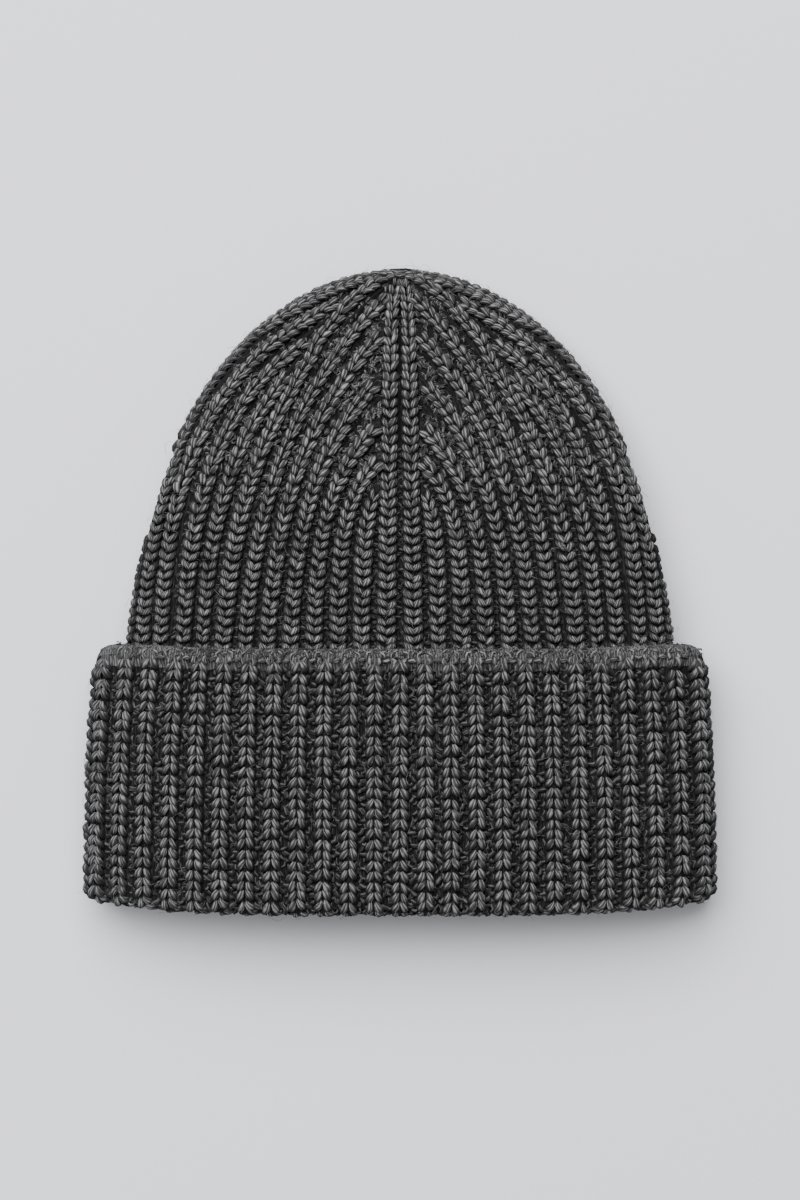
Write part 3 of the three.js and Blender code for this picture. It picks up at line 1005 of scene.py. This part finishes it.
all_cuff = [(number, cuff_rib(number)) for number in range(ROUND)]
front_rows = [part_of(r, is_outside) for n, r in all_cuff if round_the_cuff(n)[0] == "front"]
back_rows = [part_of(r, is_outside) for n, r in all_cuff if round_the_cuff(n)[0] == "back"]
inner_rows = [part_of(r, lambda *a: ~is_outside(*a)) for _, r in all_cuff]
cuff_front = knit("cuff_stitches_front", front_rows, stitch_sets["cuff_v"], cuff_wool, seed=3)
cuff_back = knit("cuff_stitches_back", back_rows, stitch_sets["cuff_under_v"], cuff_wool, seed=4)
lining = knit("mouth_stitches", inner_rows, stitch_sets["inner_v"], cuff_wool, seed=5)


# %% Purl bumps between the ribs
PURL_LEAN = 0.45
GROOVE_DRIFT = 0.07


def purl_rows(points, out, pitch, size, aside=0.6 * MM):
    """Bumps along a groove, by turns to its one side and its other."""
    place, along, out, _ = smooth_path(points, out, lambda share: pitch)
    shift = np.where(np.arange(len(place)) % 2 == 0, 1.0, -1.0)[:, None]
    across = np.cross(along, out)
    place = place + across * shift * aside
    along = unit(along + across * shift * PURL_LEAN)
    return place, along, out, np.ones_like(place) * size


purls = []
for number in range(ROUND):
    groove = number + 0.5 + GROOVE_DRIFT * math.sin(2 * math.pi * (number + 0.5) / ROUND)
    points, out = cuff_line(groove, 3.1 * MM, CUFF_TOP + 1.2 * MM, 30 * MM)
    points = pressed(points, out, PRESSED["purls"])
    purls.append(purl_rows(points, out, CUFF_PITCH * 0.39, 1.3, 0.9 * MM))
cuff_purls = knit("cuff_purls", purls, purl_set, purl_shade_wool, 6, (0.3, 0.3, 1.6), 0.25)

# %% Purl bumps of the crown
LOOPS_FROM, LOOPS_TO = 146 * MM, 233 * MM
PURLS_PAST, LOOPS_RAMP = 22 * MM, 26 * MM
GROOVE_LINES = [(0, 1)] + [(rib + 1, side) for side in (-1, 1) for rib in range(RIBS_PER_QUARTER)]


def crown_purl_rows():
    """Bumps along the grooves of the lower crown."""
    rows = []
    for face in ("front", "back"):
        for line, side in GROOVE_LINES:
            points, out = crown_line(line, face, side, 3.1 * MM)
            bumps = purl_rows(points, out, CROWN_PITCH * 0.55, 1.0)
            rows.append(part_of(bumps, lambda place, *_: above_fold(place) < LOOPS_FROM + PURLS_PAST))
    return rows


def peak_loops(face, count, seed):
    """Bumps at random places near the peak, where the ground between the ribs is wider."""
    dice = np.random.default_rng(seed)
    s = LOOPS_FROM + (LOOPS_TO - LOOPS_FROM) * dice.uniform(0, 1, 4 * count)
    density = outline_x(s) * smooth(s, LOOPS_FROM, LOOPS_FROM + LOOPS_RAMP)
    s = s[dice.uniform(0, outline_x(LOOPS_FROM), len(s)) < density][:count]
    side = np.where(dice.uniform(0, 1, len(s)) < 0.5, -1.0, 1.0)
    first, last = groove_x(1, s) * 0.9, outline_x(s) * 0.98
    x = first + (last - first) * dice.uniform(0, 1, len(s))
    place, out = on_crown(x, s, face, side, 2.6 * MM)
    along = unit(np.stack([-side * 0.6, 1 + 0 * s, 0 * s], axis=-1))
    return place, unit(square_to(along, out)), out, np.ones_like(place)


crown_purls = knit("crown_purls", crown_purl_rows(), purl_set, purl_shade_wool, 7, (0.3, 0.3, 0.8), 0.2)
loops = [peak_loops("front", 2000, 31), peak_loops("back", 900, 32)]
peak_purls = knit("peak_purls", loops, purl_set, loop_shade_wool, 8, (0.3, 0.3, 2.0), 0.2)

# %% [markdown]
# ## The cast-on edge
#
# The cuff's top edge is where the knitting was cast on. Above each rib two plump strands come up and thinner ones
# open like a ring over the edge, with small bars across the grooves and a chain of loops along the top. One loop of
# this edge is made in a few variants and set at each rib. Where the edge turns the corners the loops lean inwards and
# get smaller, and right at the creases there is none.


# %% One loop of the edge
EDGE_BEND = 0.12
LOOPS_UP_TO = 0.75


def edge_loop(name, spacing):
    """Strands of the edge over one rib and the groove beside it. x runs along the edge, y towards it, z outwards."""

    def strand(points, thick, shown, ends=1.0):
        """ends is the share of the thickness that is left at the strand's ends."""
        wobble = rng.normal(0, 0.25, (len(points), 3)) * [1, 1, 0.5]
        path = np.array(points, float) + wobble
        path[:, 2] -= EDGE_BEND * np.maximum(0, path[:, 1] + 1) ** 2
        full = ends + (1 - ends) * np.sin(np.linspace(0, math.pi, len(points)))
        return yarn(path * MM, thick / 2 * full * MM, 5, shown)

    half = spacing / 2 / MM
    blob = [(1.8, -3.8, -0.8), (1.9, -3.2, 0.0), (2.0, -2.4, 0.3), (2.1, -1.6, 0.1), (2.1, -1.0, -0.6)]
    arc = [(2.9, -1.7, -0.6), (3.1, -0.6, 0.0), (2.7, 0.4, 0.2), (1.9, 1.2, 0.0), (1.2, 1.6, -0.6)]
    ring = [(0.5, 0.2, -0.3), (1.0, 1.1, 0.1), (0.5, 2.0, 0.0), (-0.3, 1.7, 0.0), (-0.2, 0.8, -0.4)]
    bar = [(-1.2, -2.3, -0.8), (-0.6, -2.1, 0.0), (0, -2.0, 0.2), (0.6, -2.1, 0.0), (1.2, -2.3, -0.8)]
    bump = [(half + x, y, z) for x, y, z in bar]
    hook = [(2.9, 0.6, -0.3), (half - 0.9, 1.6, 0.0), (half - 0.1, 1.0, 0.0), (half - 0.6, 0.1, -0.5)]
    far = 2 * half
    second = [(half + 0.2, 0.2, -0.5), (half + 0.9, 1.4, 0.0), (far - 2.9, 0.9, -0.3), (far - 2.7, -0.2, -0.7)]
    mirrored = [[(-x, y, z) for x, y, z in part] for part in (blob, arc)]
    strands = (
        # path in mm, thickness in mm, pale share, share of the thickness at the ends
        (blob, 2.0, 1.0, 0.4),
        (mirrored[0], 2.0, 1.0, 0.4),
        (arc, 1.0, 1.0, 0.6),
        (mirrored[1], 1.0, 1.0, 0.6),
        (ring, 0.8, 0.4, 1.0),
        (bump, 1.8, 1.0, 0.4),
        (hook, 0.9, 0.7, 0.6),
        (second, 0.9, 0.7, 0.6),
    )
    return yarn_object(name, [strand(*row) for row in strands])


def edge_places():
    """Where the loops go, three millimetres below the top of the cuff."""
    lines = [cuff_line(number, 1 * MM, CUFF_HEIGHT - 3 * MM, 40 * MM) for number in range(ROUND)]
    marks, outs = (np.array([line[i][0] for line in lines]) for i in range(2))
    spacing = np.linalg.norm(np.roll(marks, -1, axis=0) - marks, axis=1)
    lean = 0.5 * (1 - np.abs(outs[:, 2:]))
    up = unit(np.array([[0.0, 1.0, 0.0]]) - outs * lean)
    size = np.clip(1 - 4 * lean, 0.45, 1) * np.ones_like(marks)
    rows = (marks - outs * lean * 6 * MM, up, outs, size)
    kept = part_of(rows, lambda place, along, out, size: np.abs(out[:, 2]) > LOOPS_UP_TO)
    return *kept, float(spacing.mean())


*edge_row, loop_spacing = edge_places()
edge_set = collect("edge_loops", [edge_loop(f"edge_loop_{n}", loop_spacing) for n in range(VARIANTS)])
cuff_edge = knit("cuff_edge", [edge_row], edge_set, edge_highlight_wool, 9, (0.05, 0.05, 0.05), 0.04)
print("loops are", round(loop_spacing / MM, 1), "mm apart")

# %% [markdown]
# ## Loose fibres
#
# Wool is never clean: single fibres stand off the yarn, cross the grooves and soften the outline. Each one is a
# hair with a bend in it. Hairs are set at random places of the stitches and turned at random. Along the cast-on edge
# they are many, shorter and thicker: there they are bits of loose yarn as well as hairs.


# %% Hairs and where they grow
def hair(name, length, thick, curl=1.0, shown=1.0):
    bend, sway = rng.normal(0, 0.25, 2)
    path = [
        (
            length * curl * (0.5 * math.sin(2.2 * t + bend) - 0.2 * t),
            length * (t - 0.5),
            length * (0.14 + sway * t * (1 - t)),
        )
        for t in (0.0, 0.34, 0.67, 1.0)
    ]
    return yarn_object(name, [yarn(path, [thick / 2] * len(path), 3, shown)])


def rim_hair(number):
    thick = (0.2, 0.45, 0.6)[number % 3]
    return hair(f"rim_hair_{number}", (1.3 + 0.1 * number) * MM, thick * MM, 1.4, 0.2 * (number % 5))


hair_set = collect("hairs", [hair(f"hair_{n}", (2 + 0.4 * n) * MM, 0.08 * MM) for n in range(8)])
rim_hair_set = collect("rim_hairs", [rim_hair(n) for n in range(12)])


# %% Places for the hairs
HAIRS_UP_TO = 104 * MM


def scattered(rows, count, wide, high, lift, seed):
    """Random places round the stitches of some rows, lifted off them by a height between the two of lift."""
    place, along, out = (np.concatenate([row[i] for row in rows]) for i in range(3))
    dice = np.random.default_rng(seed)
    pick = dice.integers(0, len(place), count)
    place, along, out = place[pick], along[pick], out[pick]
    aside, ahead = dice.uniform(-1, 1, (2, count, 1)) * [[[wide]], [[high]]]
    spots = place + np.cross(along, out) * aside + along * ahead + out * dice.uniform(*lift, (count, 1))
    return spots, along, out, np.ones((count, 3)) * dice.uniform(0.6, 1.3, (count, 1))


def over_the_edge(rows):
    """Hairs of the edge follow its rounded top, and none grow near the two creases."""
    place, along, out, size = part_of(rows, lambda place, *_: np.abs(place[:, 0]) < HAIRS_UP_TO)
    past = np.maximum(0, above_fold(place)[:, None] - (CUFF_HEIGHT - 4 * MM))
    return place - out * past**2 * EDGE_BEND / MM, along, out, size


fuzz_rows = [
    # rows, how many hairs, how far aside and ahead of a stitch, how high over it, seed
    scattered(crown_rows["front"], 1800, 4 * MM, 4 * MM, (0, 1.4 * MM), 21),
    scattered(front_rows, 1600, 4 * MM, 4 * MM, (0, 1.2 * MM), 22),
    over_the_edge(scattered([edge_row], 300, 4 * MM, 2.2 * MM, (0, 0.4 * MM), 23)),
    over_the_edge(scattered([edge_row], 1300, 4.6 * MM, 2.3 * MM, (-0.9 * MM, -0.2 * MM), 24)),
]
HAIR_JITTER = (0.5, 0.5, 3.1)
crown_fuzz = knit("crown_fuzz", fuzz_rows[:1], hair_set, cuff_wool, 10, HAIR_JITTER, 0.2)
cuff_fuzz = knit("cuff_fuzz", fuzz_rows[1:3], hair_set, cuff_wool, 11, HAIR_JITTER, 0.2)
rim_fuzz = knit("rim_fuzz", fuzz_rows[3:], rim_hair_set, edge_highlight_wool, 14, HAIR_JITTER, 0.2)

# %% [markdown]
# ## The walls behind the stitches
#
# Behind the stitches is the body of the fabric. It closes the hat, so that no light leaks through between the
# stitches, and it gives the grooves their dark floor: its wool is painted nearly black, as painted shade. It is a
# shell with gentle waves where the ribs are, a little under the surface that the stitches make. Under the cast-on
# loops it comes up and takes their paler wool, with its painted highlight.


# %% Surfaces from grids of points
def grid_object(name, grids, material):
    """Joins grids of points into one welded mesh. A grid is (rows, columns, 3) with its normal side given."""
    verts, faces, uvs = [], [], []
    for grid, flip in grids:
        rows, columns = grid.shape[:2]
        start = len(verts)
        verts += [tuple(p) for p in grid.reshape(-1, 3)]
        wide = np.linalg.norm(np.diff(grid, axis=1), axis=-1).mean() / MM
        high = np.linalg.norm(np.diff(grid, axis=0), axis=-1).mean() / MM
        for i in range(rows - 1):
            for j in range(columns - 1):
                a = start + i * columns + j
                quad = [a, a + 1, a + columns + 1, a + columns]
                spots = [(j, i), (j + 1, i), (j + 1, i + 1), (j, i + 1)]
                if flip:
                    quad.reverse()
                    spots.reverse()
                faces.append(quad)
                uvs += [(u * wide, v * high) for u, v in spots]
    mesh = yarn_mesh(name, verts, faces, uvs)
    bm = bmesh.new()
    bm.from_mesh(mesh)
    bmesh.ops.remove_doubles(bm, verts=bm.verts, dist=0.01 * MM)
    bmesh.ops.dissolve_degenerate(bm, edges=bm.edges, dist=0.005 * MM)
    bm.to_mesh(mesh)
    bm.free()
    finish_mesh(mesh, tone=[0.5] * len(mesh.vertices), shown=[0.6] * len(mesh.vertices))
    mesh.materials.append(material)
    flatten_under(mesh)
    made = bpy.data.objects.new(name, mesh)
    scene_objects.link(made)
    print(name, triangle_count(mesh), "triangles")
    return made


WAVE_MIDDLE = 2.7 * MM
WAVE_DEPTH = 0.9 * MM
COLUMNS_PER_RIB = 6


def wave(ribs, crest):
    """How deep the wall lies at a rib coordinate. crest is 0.5 on the crown, 0 on the cuff."""
    return WAVE_MIDDLE - WAVE_DEPTH * np.cos(2 * math.pi * (ribs - crest))


# %% The crown's wall
FAN_ROWS = 36
INNER_ROWS = 40
INNER_COLUMNS_PER_RIB = 4
FADE_FROM = LENGTH * 0.99


def crown_wall():
    """Four quarters, each of a fan beside the middle ribs, the middle ribs, the plain base and the inside."""
    fan_lines = np.linspace(1, RIBS_PER_QUARTER, (RIBS_PER_QUARTER - 1) * COLUMNS_PER_RIB + 1)
    spine_lines = np.linspace(0, 1, COLUMNS_PER_RIB + 1)
    lines = np.concatenate([spine_lines, fan_lines[1:]])
    t = np.linspace(0, 1, FAN_ROWS + 1)
    plans = [rib_plan(line, t) for line in fan_lines]
    fan_x, fan_s = (np.stack([plan[i] for plan in plans], axis=1) for i in range(2))
    fan_inset = wave(fan_lines, 0.5)[None, :] + 0 * fan_s
    # the edge that the fan shares with the middle ribs: up the first groove, then along the fan's last row
    edge_x, edge_s = (np.concatenate([groove_plan(1, t)[i], plan[-1, 1:]]) for i, plan in enumerate((fan_x, fan_s)))
    spine_x = edge_x[:, None] * spine_lines
    spine_s = edge_s[:, None] + 0 * spine_lines
    spine_inset = wave(spine_lines, 0.5)[None, :] + 0 * spine_s
    spine_inset[:, -1] = np.concatenate([wave(1, 0.5) + 0 * t, wave(fan_lines[1:], 0.5)])
    base_u = np.concatenate([groove_x(1, RIBBED_FROM) * spine_lines, fan_x[0, 1:]]) / outline_x(RIBBED_FROM)
    base_s = np.array([LEG_END, RIBBED_FROM])[:, None]
    inner_share = np.linspace(0, 1, RIBS_PER_QUARTER * INNER_COLUMNS_PER_RIB + 1)
    inner_s = LEG_END + (LENGTH - LEG_END) * (1 - (1 - np.linspace(0, 1, INNER_ROWS + 1)) ** 2)
    inner_inset = CROWN_WALL - 1.2 * MM + 0.5 * MM * np.cos(2 * math.pi * RIBS_PER_QUARTER * inner_share)

    def at(x, s, inset, face, side):
        half = outline_x(s)
        share = np.where(half > 1e-7, x / np.maximum(half, 1e-9), 0)
        fade = 1 - smooth(s, FADE_FROM, LENGTH)
        return crown_point(side * np.where(share > 1 - 1e-9, 1, share), s, face, inset * fade)

    grids = []
    for face in ("front", "back"):
        for side in (-1, 1):
            flip = (face == "front") != (side == 1)
            base = crown_point(side * np.minimum(base_u, 1)[None, :], base_s, face, wave(lines, 0.5)[None, :])
            inner_u = side * np.sin(inner_share * math.pi / 2)[None, :]
            inner = crown_point(inner_u, inner_s[:, None], face, inner_inset[None, :])
            grids += [
                (at(fan_x, fan_s, fan_inset, face, side), flip),
                (at(spine_x, spine_s, spine_inset, face, side), flip),
                (base, flip),
                (inner, not flip),
            ]
    return grid_object("crown_wall", grids, wall_shade_wool)


crown_shell = crown_wall()


# %% The cuff's wall
RIM_INSET = 1.3 * MM
HIDDEN_INSET = CUFF_WALL - 0.3 * MM
WALL_TOP = CUFF_HEIGHT - CUFF_EDGE_RADIUS
WALL_DEEP = 14 * MM
RIM_RADIUS = CUFF_EDGE_RADIUS - 0.8 * MM
RIM_STEPS = 6
PALE_BELOW_TOP = 6.6 * MM


def cuff_wall():
    """Columns go up the hidden side, over the rim, down the outside, round the fold and up the inside."""
    columns = []
    for number in np.arange(ROUND * COLUMNS_PER_RIB + 1) / COLUMNS_PER_RIB:
        points, out = cuff_line(number, float(wave(number, 0.0)), WALL_TOP, WALL_DEEP)
        points = pressed(points, out, PRESSED["wall"])
        raised, _ = cuff_line(number, RIM_INSET, WALL_TOP, WALL_DEEP)
        share = smooth(above_fold(points)[:, None], CUFF_HEIGHT - 9 * MM, CUFF_HEIGHT - 5.5 * MM)
        points = points + (raised - points) * share
        face, side, u = round_the_cuff(number)
        hidden = [cuff_point(u * side, s, face, HIDDEN_INSET) for s in (WALL_DEEP, WALL_TOP)]
        rim = []
        for angle in np.linspace(math.pi, 0, RIM_STEPS + 1)[1:-1]:
            depth = (HIDDEN_INSET + RIM_INSET - (HIDDEN_INSET - RIM_INSET) * math.cos(angle)) / 2
            rim.append(cuff_point(u * side, WALL_TOP + RIM_RADIUS * math.sin(angle), face, depth))
        columns.append(np.concatenate([hidden, rim, points[::3], points[-1:], hidden[:1]]))
    made = grid_object("cuff_wall", [(np.stack(columns, axis=1), True)], wall_shade_wool)
    made.data.materials.append(edge_highlight_wool)
    for face in made.data.polygons:
        top = CUFF_HEIGHT - LENGTH / 2 + rim_rise(face.center.x / CUFF_HALF_WIDTH)
        if face.center.y > top - PALE_BELOW_TOP:
            face.material_index = 1
    return made


cuff_shell = cuff_wall()

# %% [markdown]
# ## The table, the light and the camera
#
# The floor is a plain pale sheet. A large soft light hangs beyond the peak and a little to the left, so that the fold
# at the mouth throws a soft shadow towards the viewer. White light from all round fills the shadows. The camera looks
# straight down through a long lens.

# %% Attach the pieces to the model
pieces = {
    "crown": [crown_shell, *crown_knitting, crown_purls, peak_purls, crown_fuzz],
    "cuff": [cuff_shell, cuff_front, cuff_back, cuff_purls, lining, cuff_edge, cuff_fuzz, rim_fuzz],
}
for node, group in pieces.items():
    for piece in group:
        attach(piece, "root")
        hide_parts(node)
print("pieces:", sum(len(group) for group in pieces.values()))

# %% Floor
FLOOR_REACH = 3.0
FLOOR_COLOUR = (0.735, 0.742, 0.785, 1)
floor_mesh = bpy.data.meshes.new("floor")
corners = [(x * FLOOR_REACH, y * FLOOR_REACH, 0) for x, y in ((-1, -1), (1, -1), (1, 1), (-1, 1))]
floor_mesh.from_pydata(corners, [], [(0, 1, 2, 3)])
floor = bpy.data.objects.new("floor", floor_mesh)
scene_objects.link(floor)
floor_material = bpy.data.materials.new("pale_floor")
floor_material.use_nodes = True
floor_shader = floor_material.node_tree.nodes["Principled BSDF"]
floor_shader.inputs["Base Color"].default_value = FLOOR_COLOUR
floor_shader.inputs["Roughness"].default_value = 0.9
floor_mesh.materials.append(floor_material)

# %% Light
FILL_STRENGTH = 0.465
WINDOW = {"place": (-0.6, 1.35, 2.2), "aim": (0, 0, 0), "size": (3.0, 2.5), "watts": 198}
world = bpy.data.worlds.new("studio")
bpy.context.scene.world = world
world.use_nodes = True
background = world.node_tree.nodes["Background"]
background.inputs["Color"].default_value = (1, 1, 1, 1)
background.inputs["Strength"].default_value = FILL_STRENGTH


def area_light(name, place, aim, size, watts):
    lamp = bpy.data.lights.new(name, "AREA")
    lamp.shape = "RECTANGLE"
    lamp.size, lamp.size_y = size
    lamp.energy = watts
    made = bpy.data.objects.new(name, lamp)
    scene_objects.link(made)
    made.location = place
    direction = Vector(aim) - Vector(place)
    made.rotation_mode = "QUATERNION"
    made.rotation_quaternion = direction.to_track_quat("-Z", "Y")
    return made


window = area_light("window", **WINDOW)
print("the window gives", window.data.energy, "watts")

# %% Camera
PIXEL = 0.36 * MM
IMAGE_HEIGHT = 1200
SENSOR = 36
AIM = (0.0, -7.5 * PIXEL, 16 * MM)
DISTANCE = 1.6
camera_data = bpy.data.cameras.new("camera")
camera = bpy.data.objects.new("camera", camera_data)
scene_objects.link(camera)
camera_data.sensor_width = SENSOR
camera_data.sensor_fit = "AUTO"
camera_data.lens = SENSOR * DISTANCE / (IMAGE_HEIGHT * PIXEL)
camera.location = (AIM[0], AIM[1], AIM[2] + DISTANCE)
camera.rotation_euler = (0, 0, 0)
bpy.context.scene.camera = camera
print("lens", round(camera_data.lens, 1), "mm")
